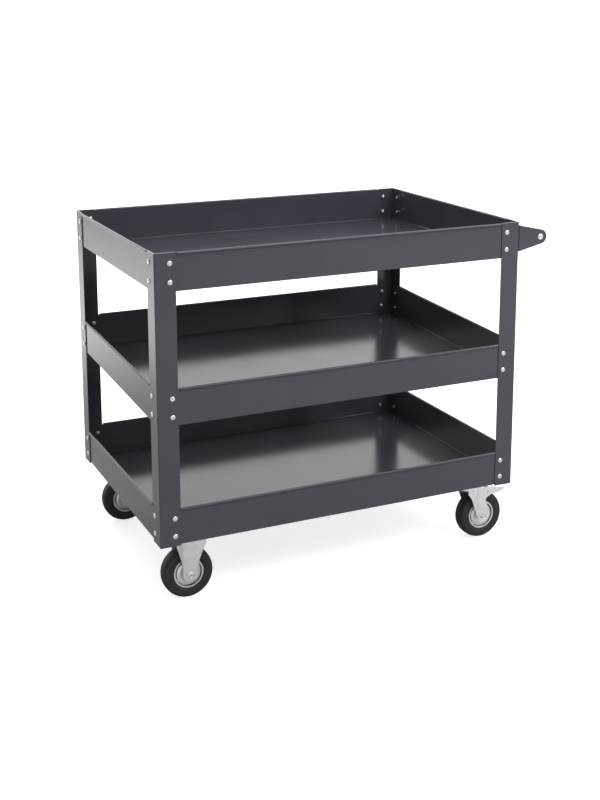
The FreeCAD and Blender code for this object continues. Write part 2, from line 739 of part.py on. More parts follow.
def swivel_fork():
    """Crown and two raked legs, each with a brake horn behind it."""
    y = 100.0
    end_radius = 16.5
    axle_x, axle_z = TRAIL, WHEEL_RADIUS
    front_x, front_z = tangent_point(0.0, 105.0, axle_x, axle_z, end_radius, -1)
    rear_x, rear_z = tangent_point(41.0, 104.0, axle_x, axle_z, end_radius, 1)
    pivot_x, pivot_z = PEDAL_PIVOT
    crown_top = CROWN_TOP - 1.0
    outline = face_of([
        line(V(-34, y, crown_top), V(-34, y, 142)),
        arc(V(-34, y, 142), V(-15, y, 130), V(0, y, 105)),
        line(V(0, y, 105), V(front_x, y, front_z)),
        arc(V(front_x, y, front_z), V(axle_x, y, axle_z - end_radius), V(rear_x, y, rear_z)),
        line(V(rear_x, y, rear_z), V(41, y, 104)),
        arc(V(41, y, 104), V(44.5, y, 112.5), V(53, y, 117)),
        arc(V(53, y, 117), V(60.5, y, 128), V(56, y, 140)),
        line(V(56, y, 140), V(24, y, 143)),
        line(V(24, y, 143), V(24, y, crown_top)),
        line(V(24, y, crown_top), V(-34, y, crown_top)),
    ])
    fold = 17.5
    leg = pressed_leg(outline, fold, 80, -60, 0, 0.25, FORK_SHEET)
    inside_crown = Part.makeCylinder(CROWN_RADIUS - 0.5, 200)
    behind = box(0, 120, -LEG_FACE - 0.01, 0, 0, 200)
    leg = solid_of(leg.common(fuse([inside_crown, behind])))
    rib = Part.makeCylinder(2.6, 62, V(fold + 1.0, -LEG_FACE + 0.9, 79))
    legs = mirrored_pair(solid_of(fuse([leg, rib])))
    piece = solid_of(fuse([crown()] + legs))
    groove = Part.makeTorus(BALL_PITCH, BALL_RADIUS, V(0, 0, BALL_Z))
    rivet_hole = Part.makeCylinder(RIVET_RADIUS, 100, V(pivot_x, -50, pivot_z), Y_AXIS)
    return solid_of(piece.cut(Part.makeCompound([groove, axle_hole(axle_x), rivet_hole])))


def balls():
    ring = []
    for k in range(BALL_COUNT):
        angle = 2 * math.pi * k / BALL_COUNT
        centre = V(BALL_PITCH * math.cos(angle), BALL_PITCH * math.sin(angle), BALL_Z)
        ring.append(Part.makeSphere(BALL_RADIUS, centre))
    return ring


def rivets():
    """Two short pins, each through one leg and one cheek of the pedal."""
    pivot_x, pivot_z = PEDAL_PIVOT
    inner_end = LEG_FACE - FORK_SHEET - CHEEK_GAP - CHEEK_SHEET - 0.4
    pair = []
    for side in (-1, 1):
        pin = Part.makeCylinder(RIVET_RADIUS, LEG_FACE - inner_end)
        head = Part.makeCone(4.6, 3.2, 1.6, V(0, 0, LEG_FACE - inner_end))
        rivet = solid_of(fuse([pin, head]))
        pair.append(aim(rivet, V(pivot_x, side * inner_end, pivot_z), Y_AXIS * side))
    return pair


def leaf_spring():
    """Bent strip under the crown that ends just above the pedal's front edge."""
    half_width = 6.0
    sheet = 0.8
    top = CROWN_TOP - CROWN_SHEET
    knee = CROWN_EDGE - 0.4
    end = 139.8
    points = [
        V(13, -half_width, top),
        V(20, -half_width, top),
        V(33, -half_width, knee),
        V(70, -half_width, end),
        V(70, -half_width, end - sheet),
        V(33, -half_width, knee - sheet),
        V(19.6, -half_width, top - sheet),
        V(13, -half_width, top - sheet),
    ]
    return prism(points, V(0, 2 * half_width, 0))


def pedal():
    """Foot pedal: two cheeks on the rivets, joined by the tread behind the fork."""
    outer = LEG_FACE - FORK_SHEET - CHEEK_GAP
    pivot_x, pivot_z = PEDAL_PIVOT
    cheek_points = [
        V(41, 0, 121),
        V(55, 0, 118.5),
        V(91.5, 0, 122),
        V(99.5, 0, 128),
        V(102.5, 0, 131),
        V(61.5, 0, 139.5),
        V(44, 0, 137),
    ]
    cheek = prism(cheek_points, V(0, CHEEK_SHEET, 0))
    corners = []
    for edge in cheek.Edges:
        middle = edge.CenterOfMass
        if abs(middle.y - CHEEK_SHEET / 2) < 0.01 and middle.x < 60:
            corners.append(edge)
    cheek = cheek.makeFillet(3.5, corners)
    hole = Part.makeCylinder(RIVET_RADIUS + RUNNING_GAP, 10, V(pivot_x, -5, pivot_z), Y_AXIS)
    cheek = solid_of(cheek.cut(hole))
    left = moved_to(cheek, y=-outer)
    right = moved_to(cheek, y=outer - CHEEK_SHEET)

    sheet = 2.0
    slope = 0.153
    tip_z = 130.4 + (TREAD_TIP - 108) * slope
    tread_points = [
        V(66, -outer, 138.6),
        V(102.5, -outer, 131.0),
        V(108, -outer, 130.4),
        V(TREAD_TIP, -outer, tip_z),
        V(TREAD_TIP, -outer, tip_z - sheet),
        V(108, -outer, 130.4 - sheet),
        V(102.5, -outer, 131.0 - sheet),
        V(66, -outer, 138.6 - sheet),
    ]
    tread = prism(tread_points, V(0, 2 * outer, 0))
    centre = TREAD_TIP - TREAD_TIP_RADIUS
    tip_cut = box(100, 150, -outer - 1, outer + 1, 100, 160)
    tip_keep = fuse([
        Part.makeCylinder(TREAD_TIP_RADIUS, 60, V(centre, 0, 100)),
        prism([V(100, -outer, 100), V(centre, -TREAD_TIP_RADIUS, 100),
               V(centre, TREAD_TIP_RADIUS, 100), V(100, outer, 100)], V(0, 0, 60)),
    ])
    tread = solid_of(tread.cut(tip_cut.cut(tip_keep)))
    grips = []
    for k in range(4):
        x = 112.0 + 5.5 * k
        z = 130.4 + (x - 108) * slope
        half = math.sqrt(TREAD_TIP_RADIUS ** 2 - (x + 1 - centre) ** 2) - 3
        grips.append(box(x, x + 2, -half, half, z - 1.0, z + 1.2))
    return solid_of(fuse([left, right, tread] + grips))


def brake_shoe():
    """Curved plate between the cheeks; pressing the pedal lays it on the tyre."""
    outer = LEG_FACE - FORK_SHEET - CHEEK_GAP - CHEEK_SHEET
    inner_radius = WHEEL_RADIUS + SHOE_GAP
    axle = V(TRAIL, -outer, WHEEL_RADIUS)
    ring = Part.makeCylinder(inner_radius + SHOE_SHEET, 2 * outer, axle, Y_AXIS)
    ring = ring.cut(Part.makeCylinder(inner_radius, 2 * outer, axle, Y_AXIS))
    rays = []
    for degrees in (46, 67):
        angle = math.radians(degrees)
        rays.append(axle + V(90 * math.cos(angle), 0, 90 * math.sin(angle)))
    wedge = prism([axle, rays[0], rays[1]], V(0, 2 * outer, 0))
    shoe = solid_of(ring.common(wedge))
    shoe.rotate(V(PEDAL_PIVOT[0], 0, PEDAL_PIVOT[1]), Y_AXIS, -PEDAL_TRAVEL)
    return shoe


# ---------------------------------------------------------------- wheels

def revolve_about_wheel_axis(face):
    """Turn a section drawn as (radius, across) about the wheel's own axis."""
    return face.revolve(V(0, 0, 0), Y_AXIS, 360)


def tyre():
    side = TYRE_HALF
    radius = WHEEL_RADIUS
    bore = 35.0
    seat = 14.9

    def at(r, across):
        return V(r, across, 0)

    edges = [
        arc(at(radius - 1.3, -11.5), at(radius, 0), at(radius - 1.3, 11.5)),
        arc(at(radius - 1.3, 11.5), at(radius - 4.4, 16.6), at(radius - 11.0, side)),
        arc(at(radius - 11.0, side), at(44.0, side - 0.3), at(38.6, side - 2.2)),
        line(at(38.6, side - 2.2), at(37.5, seat)),
        line(at(37.5, seat), at(bore, seat)),
        line(at(bore, seat), at(bore, -seat)),
        line(at(bore, -seat), at(37.5, -seat)),
        line(at(37.5, -seat), at(38.6, 2.2 - side)),
        arc(at(38.6, 2.2 - side), at(44.0, 0.3 - side), at(radius - 11.0, -side)),
        arc(at(radius - 11.0, -side), at(radius - 4.4, -16.6), at(radius - 1.3, -11.5)),
    ]
    return revolve_about_wheel_axis(face_of(edges))


def rim_half():
    """One pressed rim half: disc with a raised ring, deep groove and outer lip."""
    section = [
        (HUB_RADIUS, 15.0), (21.5, 15.0), (22.5, 16.2), (26.0, 16.2), (27.0, 15.0),
        (28.4, 15.0), (29.6, 13.8), (29.6, 1.5), (33.4, 1.5), (33.4, 15.4),
        (34.5, 16.5), (37.2, 16.5), (37.2, 15.0), (34.9, 15.0), (34.9, 0.0),
        (28.1, 0.0), (28.1, 13.2), (27.8, 13.5), (26.4, 13.5), (25.4, 14.7),
        (23.1, 14.7), (22.1, 13.5), (HUB_RADIUS, 13.5),
    ]
    points = [V(r, across, 0) for r, across in section]
    return revolve_about_wheel_axis(Part.Face(Part.makePolygon(points + [points[0]])))


def hub():
    tube = Part.makeCylinder(HUB_RADIUS, 2 * HUB_HALF, V(0, -HUB_HALF, 0), Y_AXIS)
    bore = Part.makeCylinder(HUB_BORE, 2 * HUB_HALF + 2, V(0, -HUB_HALF - 1, 0), Y_AXIS)
    return solid_of(tube.cut(bore))


def roller_cage():
    """Cage that fills the hub, with eight rollers showing as grooves at its ends."""
    cage = Part.makeCylinder(HUB_BORE, 2 * CAGE_HALF, V(0, -CAGE_HALF, 0), Y_AXIS)
    bore = AXLE_SLEEVE + RUNNING_GAP
    cage = cage.cut(Part.makeCylinder(bore, 2 * CAGE_HALF + 2, V(0, -CAGE_HALF - 1, 0), Y_AXIS))
    pockets = []
    for k in range(8):
        angle = math.pi * k / 4
        centre_x, centre_z = 8.3 * math.cos(angle), 8.3 * math.sin(angle)
        for y in (-CAGE_HALF - 1, CAGE_HALF - 2):
            pockets.append(Part.makeCylinder(1.2, 3, V(centre_x, y, centre_z), Y_AXIS))
    return solid_of(cage.cut(Part.makeCompound(pockets)))


def build_wheel(name, x, y):
    half = rim_half()
    rim = [half, half.mirror(V(0, 0, 0), Y_AXIS), hub()]
    save(name + "_tyre", [moved_to(tyre(), x, y, WHEEL_RADIUS)])
    save(name + "_rim", [moved_to(piece, x, y, WHEEL_RADIUS) for piece in rim])
    save(name + "_bearing", [moved_to(roller_cage(), x, y, WHEEL_RADIUS)])


# ---------------------------------------------------------------- caster assembly

CASTER_ROWS = (("front", CASTER_INSET_Y), ("back", DEPTH - CASTER_INSET_Y))
FIXED_X = CASTER_INSET_X
SWIVEL_X = LENGTH - CASTER_INSET_X


def build_fixed_casters():
    fork = fixed_fork()
    pieces = axle_pieces(0)
    for end, y in CASTER_ROWS:
        save("fixed_fork_" + end, [moved_to(fork, FIXED_X, y)])
        build_wheel("wheel_" + end + "_left", FIXED_X, y)
    names = ("fixed_axle_bolts", "fixed_axle_nuts", "fixed_axle_sleeves")
    for name, piece in zip(names, pieces):
        save(name, [moved_to(piece, FIXED_X, y) for end, y in CASTER_ROWS])


def build_swivel_casters():
    bolt, nut, sleeve = axle_pieces(TRAIL)
    pieces = {
        "swivel_plate_": [swivel_plate()],
        "swivel_fork_": [swivel_fork()],
        "swivel_balls_": balls(),
        "swivel_axle_bolt_": [bolt],
        "swivel_axle_nut_": [nut],
        "swivel_axle_sleeve_": [sleeve],
        "brake_rivets_": rivets(),
        "brake_spring_": [leaf_spring()],
        "brake_pedal_": [pedal()],
        "brake_shoe_": [brake_shoe()],
    }
    for end, y in CASTER_ROWS:
        for name, solids in pieces.items():
            save(name + end, [moved_to(solid, SWIVEL_X, y) for solid in solids])
        build_wheel("wheel_" + end + "_right", SWIVEL_X + TRAIL, y)
    save("kingpins", [moved_to(kingpin(), SWIVEL_X, y) for end, y in CASTER_ROWS])


def build_caster_fasteners():
    """Studs welded under the bottom tray and the nuts that hold the caster plates."""
    plate_bottom = CASTER_HEIGHT - PLATE_SHEET
    stud_end = plate_bottom - NUT_HEIGHT - 1.5
    nut = hex_nut(NUT_FLATS, NUT_HEIGHT, NUT_BORE)
    studs = []
    nuts = []
    for caster_x in (FIXED_X, SWIVEL_X):
        for end, caster_y in CASTER_ROWS:
            for dx, dy in plate_hole_centres():
                foot = V(caster_x + dx, caster_y + dy, stud_end)
                studs.append(Part.makeCylinder(BOLT_RADIUS, CASTER_HEIGHT - stud_end, foot))
                nuts.append(moved_to(nut, foot.x, foot.y, plate_bottom))
    save("caster_studs", studs)
    save("caster_nuts", nuts)


os.makedirs("parts", exist_ok=True)
build_posts()
build_trays()
build_frame_screws()
build_handle()
build_fixed_casters()
build_swivel_casters()
build_caster_fasteners()
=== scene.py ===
import json
import math

import bmesh
import bpy
from mathutils import Matrix, Vector


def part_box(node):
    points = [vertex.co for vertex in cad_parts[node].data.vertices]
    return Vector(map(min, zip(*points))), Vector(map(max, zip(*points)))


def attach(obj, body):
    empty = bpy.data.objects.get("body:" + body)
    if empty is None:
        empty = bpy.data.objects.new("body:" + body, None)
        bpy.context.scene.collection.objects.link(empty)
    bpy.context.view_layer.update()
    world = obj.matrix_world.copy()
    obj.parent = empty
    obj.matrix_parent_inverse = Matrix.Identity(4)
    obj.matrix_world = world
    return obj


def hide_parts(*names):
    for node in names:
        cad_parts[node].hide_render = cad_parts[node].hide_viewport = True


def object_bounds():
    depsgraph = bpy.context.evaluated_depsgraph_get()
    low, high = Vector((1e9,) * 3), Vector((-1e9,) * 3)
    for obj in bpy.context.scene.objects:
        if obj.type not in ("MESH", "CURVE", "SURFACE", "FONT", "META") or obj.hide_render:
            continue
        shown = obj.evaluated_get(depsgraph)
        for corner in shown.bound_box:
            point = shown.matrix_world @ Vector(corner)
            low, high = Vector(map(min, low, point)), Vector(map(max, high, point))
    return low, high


# Tool cart: powder-coated angle posts and trays, zinc-plated fasteners and casters.
# Metres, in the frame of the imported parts, where nothing else is said.

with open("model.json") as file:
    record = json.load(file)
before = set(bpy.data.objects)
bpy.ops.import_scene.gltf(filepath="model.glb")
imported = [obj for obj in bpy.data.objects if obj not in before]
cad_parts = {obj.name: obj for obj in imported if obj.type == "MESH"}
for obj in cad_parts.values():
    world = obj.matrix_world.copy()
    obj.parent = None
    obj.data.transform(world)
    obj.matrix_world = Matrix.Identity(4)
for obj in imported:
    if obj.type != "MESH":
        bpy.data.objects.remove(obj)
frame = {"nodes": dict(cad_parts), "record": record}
CAD_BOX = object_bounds()
CAD_BOX_MID = [(low + high) / 2 for low, high in zip(*CAD_BOX)]
MM = 0.001
SHARP_FROM = 32    # degrees; flatter edges are shaded smooth


# ------------------------------------------------------------------ small helpers

def new_object(name, mesh):
    obj = bpy.data.objects.new(name, mesh)
    bpy.context.scene.collection.objects.link(obj)
    return obj


def mesh_of(name, bm):
    bmesh.ops.recalc_face_normals(bm, faces=bm.faces)
    mesh = bpy.data.meshes.new(name)
    bm.to_mesh(mesh)
    bm.free()
    return mesh


def smooth(mesh, degrees=SHARP_FROM):
    """Smooth shading that keeps edges sharper than the given angle."""
    mesh.shade_smooth()
    mesh.set_sharp_from_angle(angle=math.radians(degrees))


def apply_modifiers(obj):
    """Replace an object's mesh by the result of its modifiers."""
    depsgraph = bpy.context.evaluated_depsgraph_get()
    mesh = bpy.data.meshes.new_from_object(obj.evaluated_get(depsgraph))
    obj.modifiers.clear()
    obj.data = mesh


def body_with(node):
    for body, names in frame["record"]["behaviour"]["bodies"].items():
        if node in names:
            return body
    raise ValueError("no body holds " + node)


def stand_for(piece, node):
    """Give a new piece the material of the CAD node's slot and the body of the CAD node that
    it replaces.
    """
    slot = SLOT_OF_NODE[node]
    piece.data.materials.clear()
    piece.data.materials.append(MATERIAL_OF_SLOT[slot])
    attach(piece, body_with(node))
    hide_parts(node)


def islands(node):
    """Lowest and highest corners of each separate solid of a CAD node."""
    bm = bmesh.new()
    bm.from_mesh(frame["nodes"][node].data)
    bmesh.ops.remove_doubles(bm, verts=bm.verts, dist=1e-6)
    seen = set()
    boxes = []
    for start in bm.verts:
        if start in seen:
            continue
        seen.add(start)
        stack = [start]
        lo, hi = start.co.copy(), start.co.copy()
        while stack:
            vert = stack.pop()
            for k in range(3):
                lo[k] = min(lo[k], vert.co[k])
                hi[k] = max(hi[k], vert.co[k])
            for edge in vert.link_edges:
                other = edge.other_vert(vert)
                if other not in seen:
                    seen.add(other)
                    stack.append(other)
        boxes.append((lo, hi))
    bm.free()
    return boxes


def rounded_outline(corners, steps):
    """Closed outline through (a, b, radius) corners, each turned with its own radius."""
    points = []
    count = len(corners)
    for k in range(count):
        here = Vector(corners[k][:2])
        before = Vector(corners[k - 1][:2])
        after = Vector(corners[(k + 1) % count][:2])
        radius = corners[k][2]
        to_before = (before - here).normalized()
        to_after = (after - here).normalized()
        half = to_before.angle(to_after) / 2
        reach = radius / math.tan(half)
        start = here + to_before * reach
        end = here + to_after * reach
        centre = here + (to_before + to_after).normalized() * (radius / math.sin(half))
        a, b = start - centre, end - centre
        sweep = a.angle_signed(b)
        for i in range(steps + 1):
            turn = Matrix.Rotation(-sweep * i / steps, 2)
            points.append(centre + turn @ a)
    return points


def lathe(outline, segments):
    """Turn a closed (radius, across) outline in millimetres about the Y axis."""
    bm = bmesh.new()
    rings = []
    for k in range(segments):
        angle = 2 * math.pi * k / segments
        c, s = math.cos(angle), math.sin(angle)
        rings.append([bm.verts.new((r * c * MM, y * MM, r * s * MM)) for r, y in outline])
    count = len(outline)
    for k in range(segments):
        here, there = rings[k], rings[(k + 1) % segments]
        for i in range(count):
            j = (i + 1) % count
            bm.faces.new((here[i], here[j], there[j], there[i]))
    return bm


def joined(name, meshes_and_places):
    """One mesh from copies of meshes, each placed by a matrix."""
    bm = bmesh.new()
    for mesh, place in meshes_and_places:
        part = bmesh.new()
        part.from_mesh(mesh)
        bmesh.ops.transform(part, matrix=place, verts=part.verts)
        temp = bpy.data.meshes.new("temp")
        part.to_mesh(temp)
        part.free()
        bm.from_mesh(temp)
        bpy.data.meshes.remove(temp)
    mesh = bpy.data.meshes.new(name)
    bm.to_mesh(mesh)
    bm.free()
    return mesh


# ------------------------------------------------------------------ materials

# Most values of Blender's noise lie between these.
NOISE_RANGE = (0.3, 0.7)


def node_material(name):
    material = bpy.data.materials.new(name)
    material.use_nodes = True
    tree = material.node_tree
    return material, tree, tree.nodes["Principled BSDF"]


def add(tree, kind, **values):
    node = tree.nodes.new(kind)
    for key, value in values.items():
        setattr(node, key, value)
    return node


def noise_of(tree, scale, detail=3.0, stretch=(1, 1, 1)):
    """Noise over the object's own coordinates, in metres."""
    coords = add(tree, "ShaderNodeTexCoord")
    mapping = add(tree, "ShaderNodeMapping")
    mapping.inputs["Scale"].default_value = stretch
    noise = add(tree, "ShaderNodeTexNoise")
    noise.inputs["Scale"].default_value = scale
    noise.inputs["Detail"].default_value = detail
    tree.links.new(coords.outputs["Object"], mapping.inputs["Vector"])
    tree.links.new(mapping.outputs["Vector"], noise.inputs["Vector"])
    return noise.outputs["Fac"]


def mapped(tree, value, from_range, to_range, **kind):
    """Map a value from one range to another."""
    node = add(tree, "ShaderNodeMapRange", **kind)
    node.inputs["From Min"].default_value, node.inputs["From Max"].default_value = from_range
    node.inputs["To Min"].default_value, node.inputs["To Max"].default_value = to_range
    tree.links.new(value, node.inputs["Value"])
    return node.outputs["Result"]


def blended(tree, noise, dark, light):
    """Mix two colours by a noise: sockets 6, 7 and 2 are a colour mix's A, B and result."""
    node = add(tree, "ShaderNodeMix", data_type="RGBA")
    node.inputs[6].default_value = (*dark, 1)
    node.inputs[7].default_value = (*light, 1)
    tree.links.new(mapped(tree, noise, NOISE_RANGE, (0, 1)), node.inputs["Factor"])
    return node.outputs[2]


def toned(tree, shader, noise, dark, light, roughness_range):
    """Let one noise vary a shader's base colour and roughness together."""
    tree.links.new(blended(tree, noise, dark, light), shader.inputs["Base Color"])
    roughness = mapped(tree, noise, NOISE_RANGE, roughness_range)
    tree.links.new(roughness, shader.inputs["Roughness"])


def bumped(tree, shader, height, strength, distance):
    node = add(tree, "ShaderNodeBump")
    node.inputs["Strength"].default_value = strength
    node.inputs["Distance"].default_value = distance
    tree.links.new(height, node.inputs["Height"])
    tree.links.new(node.outputs["Normal"], shader.inputs["Normal"])


def powder_coat():
    """Anthracite powder coat: fine orange peel, slight mottling, semi-gloss."""
    material, tree, shader = node_material("powder_coat_anthracite")
    mottle = noise_of(tree, 9.0, 2.0)
    peel = noise_of(tree, 900.0, 1.0)
    toned(tree, shader, mottle, (0.045, 0.046, 0.059), (0.050, 0.051, 0.064), (0.16, 0.19))
    shader.inputs["Specular IOR Level"].default_value = 0.38
    bumped(tree, shader, peel, 0.02, 0.0001)
    return material


def zinc_bright():
    """Bright zinc plate of screws and nuts: faint blue and straw tints."""
    material, tree, shader = node_material("zinc_bright")
    tint = noise_of(tree, 160.0, 3.0)
    grain = noise_of(tree, 1500.0, 2.0)
    toned(tree, shader, tint, (0.66, 0.68, 0.71), (0.78, 0.78, 0.76), (0.20, 0.30))
    shader.inputs["Metallic"].default_value = 1.0
    bumped(tree, shader, grain, 0.05, 0.00005)
    return material


def zinc_pressed():
    """Blue passivated zinc on pressed sheet: satin, with soft cloudy patches."""
    material, tree, shader = node_material("zinc_pressed")
    cloud = noise_of(tree, 45.0, 4.0)
    grain = noise_of(tree, 600.0, 3.0, (1, 1, 0.25))
    toned(tree, shader, cloud, (0.72, 0.74, 0.745), (0.84, 0.86, 0.865), (0.30, 0.40))
    shader.inputs["Metallic"].default_value = 1.0
    bumped(tree, shader, grain, 0.04, 0.0001)
    return material


def rubber():
    """Black moulded rubber with a dull bloom in soft patches."""
    material, tree, shader = node_material("rubber_black")
    bloom = noise_of(tree, 30.0, 5.0)
    grain = noise_of(tree, 900.0, 3.0)
    toned(tree, shader, bloom, (0.012, 0.012, 0.014), (0.018, 0.018, 0.021), (0.50, 0.62))
    shader.inputs["Specular IOR Level"].default_value = 0.35
    bumped(tree, shader, grain, 0.12, 0.0002)
    return material


def nylon():
    """Natural nylon of the roller cages."""
    material, tree, shader = node_material("nylon_natural")
    tone = noise_of(tree, 120.0, 3.0)
    toned(tree, shader, tone, (0.62, 0.60, 0.53), (0.74, 0.72, 0.66), (0.38, 0.5))
    shader.inputs["Subsurface Weight"].default_value = 0.1
    bumped(tree, shader, tone, 0.1, 0.0002)
    return material


def spring_steel():
    """Oiled spring steel with fine rolling lines."""
    material, tree, shader = node_material("spring_steel")
    lines = noise_of(tree, 400.0, 3.0, (0.2, 3, 1))
    toned(tree, shader, lines, (0.28, 0.28, 0.30), (0.45, 0.45, 0.46), (0.3, 0.42))
    shader.inputs["Metallic"].default_value = 1.0
    bumped(tree, shader, lines, 0.1, 0.0001)
    return material


MATERIAL_OF_SLOT = {
    "frame_paint": powder_coat(),
    "fastener_zinc": zinc_bright(),
    "caster_zinc": zinc_pressed(),
    "tyre_rubber": rubber(),
    "bearing_nylon": nylon(),
    "spring_steel": spring_steel(),
}
SLOT_OF_NODE = {part["node"]: part["material_slot"] for part in frame["record"]["subparts"]}


def paint_cad_nodes():
    for node, obj in frame["nodes"].items():
        obj.data.materials.clear()
        obj.data.materials.append(MATERIAL_OF_SLOT[SLOT_OF_NODE[node]])


def stand_in(name, mesh, node, sharp_from=SHARP_FROM):
    """A new object for a mesh that stands for one CAD node and rides its body."""
    piece = new_object(name, mesh)
    smooth(mesh, sharp_from)
    stand_for(piece, node)


# ------------------------------------------------------------------ sheet metal pieces

# Degrees. Faces that meet at less than the first angle are merged, and edges that turn by
# more than the second are rounded, which leaves out the facets of round surfaces.
FLAT_BELOW = 0.3
EDGE_FROM = 38


def refined(node, width, segments=2):
    """Copy of a CAD piece with its sharp edges rounded, standing for that piece."""
    bm = bmesh.new()
    bm.from_mesh(frame["nodes"][node].data)
    bmesh.ops.remove_doubles(bm, verts=bm.verts, dist=2e-6)
    bmesh.ops.dissolve_limit(
        bm, angle_limit=math.radians(FLAT_BELOW), verts=bm.verts, edges=bm.edges)
    piece = new_object("fine_" + node, mesh_of("fine_" + node, bm))
    bevel = piece.modifiers.new("bevel", "BEVEL")
    bevel.width = width * MM
    bevel.segments = segments
    bevel.limit_method = "ANGLE"
    bevel.angle_limit = math.radians(EDGE_FROM)
    bevel.use_clamp_overlap = True
    smooth(piece.data)
    normals = piece.modifiers.new("normals", "WEIGHTED_NORMAL")
    normals.keep_sharp = True
    apply_modifiers(piece)
    stand_for(piece, node)


def sheet_metal():
    for end in ("front", "back"):
        for side in ("left", "right"):
            refined("post_" + end + "_" + side, 0.3)
        refined("handle_bracket_" + end, 0.3)
        refined("fixed_fork_" + end, 0.3)
        refined("swivel_plate_" + end, 0.3)
        refined("swivel_fork_" + end, 0.3)
        refined("brake_pedal_" + end, 0.3)
        refined("brake_shoe_" + end, 0.2)
        refined("brake_spring_" + end, 0.1)
    for tray in ("top", "middle", "bottom"):
        refined("tray_" + tray, 0.25)


# ------------------------------------------------------------------ screws and nuts

# Sizes in millimetres, as on the CAD solids that the fasteners stand for.
# A nut is its width across flats, its height and the radius of its bore.
M6_RADIUS, M6_PITCH = 3.0, 1.0
M6_LENGTH = 12.0
M6_NUT = (10.0, 5.0, 3.03)
PAN_RADIUS, PAN_HEIGHT = 6.2, 3.0
M8_RADIUS, M8_PITCH = 4.0, 1.25
M8_NUT = (13.0, 6.5, 4.03)
BOLT_FLATS, BOLT_HEAD_HEIGHT, BOLT_WASHER_RADIUS = 13.0, 5.9, 6.2
BUTTON_RADIUS, BUTTON_HEIGHT, BUTTON_SOCKET = 8.0, 3.2, 5.0

ROUND = 48             # points round a head or a nut
ROD_ROUND = 24         # points round a threaded rod
STEPS_PER_PITCH = 5    # rings for each turn of a thread
THREAD_DEPTH = 0.54    # of the pitch
FLAT_FACE = 0.955      # a hexagon's round end face, of its width across flats
BORE_CHAMFER = 0.5
CROSS_HALF_WIDTH = 0.65
BOLT_TURN, AXLE_NUT_TURN = 0.3, 0.2    # radians, about the axle


def grid_mesh(name, rings, close_ends=True):
    """Mesh through rings of points of equal count, joined in order."""
    bm = bmesh.new()
    rows = [[bm.verts.new(point) for point in points] for points in rings]
    count = len(rings[0])
    for a, b in zip(rows, rows[1:]):
        for i in range(count):
            j = (i + 1) % count
            bm.faces.new((a[i], a[j], b[j], b[i]))
    if close_ends:
        bm.faces.new(rows[0])
        bm.faces.new(rows[-1])
    return mesh_of(name, bm)


def around(segments, section):
    """Ring of points about Z, with section(angle) as radius and height in millimetres."""
    points = []
    for k in range(segments):
        angle = 2 * math.pi * k / segments
        r, z = section(angle)
        points.append((r * math.cos(angle) * MM, r * math.sin(angle) * MM, z * MM))
    return points


def ring(radius, z, segments=ROUND):
    return around(segments, lambda angle: (radius, z))


def thread_radius(radius, pitch, z, angle):
    """Radius of a helical thread's surface at a height and an angle."""
    phase = (z / pitch - angle / (2 * math.pi)) % 1.0
    crest = abs(2 * phase - 1)
    return radius - THREAD_DEPTH * pitch * min(1.0, max(0.0, 1.25 * (1 - crest) - 0.1))


def threaded_rod(radius, low, high, pitch):
    """Rod along Z with a helical thread and a chamfered low end, in millimetres."""
    steps = max(2, round((high - low) / pitch * STEPS_PER_PITCH))
    rows = []
    for i in range(steps + 1):
        z = low + (high - low) * i / steps
        chamfer = radius - THREAD_DEPTH * pitch * 1.1 + (z - low)
        rows.append(around(ROD_ROUND, lambda angle: (
            min(thread_radius(radius, pitch, z, angle), chamfer), z)))
    return grid_mesh("rod", rows)


def hexagon_radius(flats, angle):
    """How far a hexagon's side is from its middle, at an angle."""
    off = (angle + math.pi / 6) % (math.pi / 3) - math.pi / 6
    return flats / 2 / math.cos(off)


def hexagon_ring(flats, z):
    return around(ROUND, lambda angle: (hexagon_radius(flats, angle), z))


def coned_ring(flats, face_z, inward):
    """Where a hexagon meets the 30 degree cone that chamfers its corners."""
    def section(angle):
        r = hexagon_radius(flats, angle)
        return r, face_z + inward * (r - flats / 2 * FLAT_FACE) * math.tan(math.radians(30))

    return around(ROUND, section)


def nut_mesh(flats, height, bore):
    """Hexagon nut from z = 0 to its height, chamfered on both faces and at the bore."""
    rings = [
        ring(bore, BORE_CHAMFER),
        ring(bore + BORE_CHAMFER, 0),
        ring(flats / 2 * FLAT_FACE, 0),
        coned_ring(flats, 0, 1),
        coned_ring(flats, height, -1),
        ring(flats / 2 * FLAT_FACE, height),
        ring(bore + BORE_CHAMFER, height),
        ring(bore, height - BORE_CHAMFER),
        ring(bore, BORE_CHAMFER),
    ]
    return grid_mesh("nut", rings, close_ends=False)


def bolt_head_mesh():
    """Hexagon head from z = 0 up, with a washer face below and a dished top."""
    washer_height = 0.6
    rings = [
        ring(BOLT_WASHER_RADIUS, 0),
        ring(BOLT_WASHER_RADIUS, washer_height),
        hexagon_ring(BOLT_FLATS, washer_height),
        coned_ring(BOLT_FLATS, BOLT_HEAD_HEIGHT, -1),
        ring(BOLT_FLATS / 2 * FLAT_FACE, BOLT_HEAD_HEIGHT),
        ring(BOLT_FLATS / 2 * 0.80, BOLT_HEAD_HEIGHT - 0.05),
        ring(BOLT_FLATS / 2 * 0.74, BOLT_HEAD_HEIGHT - 0.35),
    ]
    return grid_mesh("head", rings)


def pan_head_mesh():
    """Pan head with a pressed cross recess, from z = 0 up."""
    rings = [ring(PAN_RADIUS - inset, z) for inset, z in (
        (0.15, 0.0), (0, 0.15), (0, 0.75), (0.12, 1.15),
        (0.55, 1.65), (1.2, 2.1), (2.1, 2.5), (2.9, 2.72),
    )]
    rings += [cross_ring(reach, z, CROSS_HALF_WIDTH - inset) for reach, z, inset in (
        (3.05, 2.74, 0), (2.9, 2.62, 0.05), (2.2, 1.7, 0.15), (1.2, 1.45, 0.2),
    )]
    return grid_mesh("pan_head", rings)


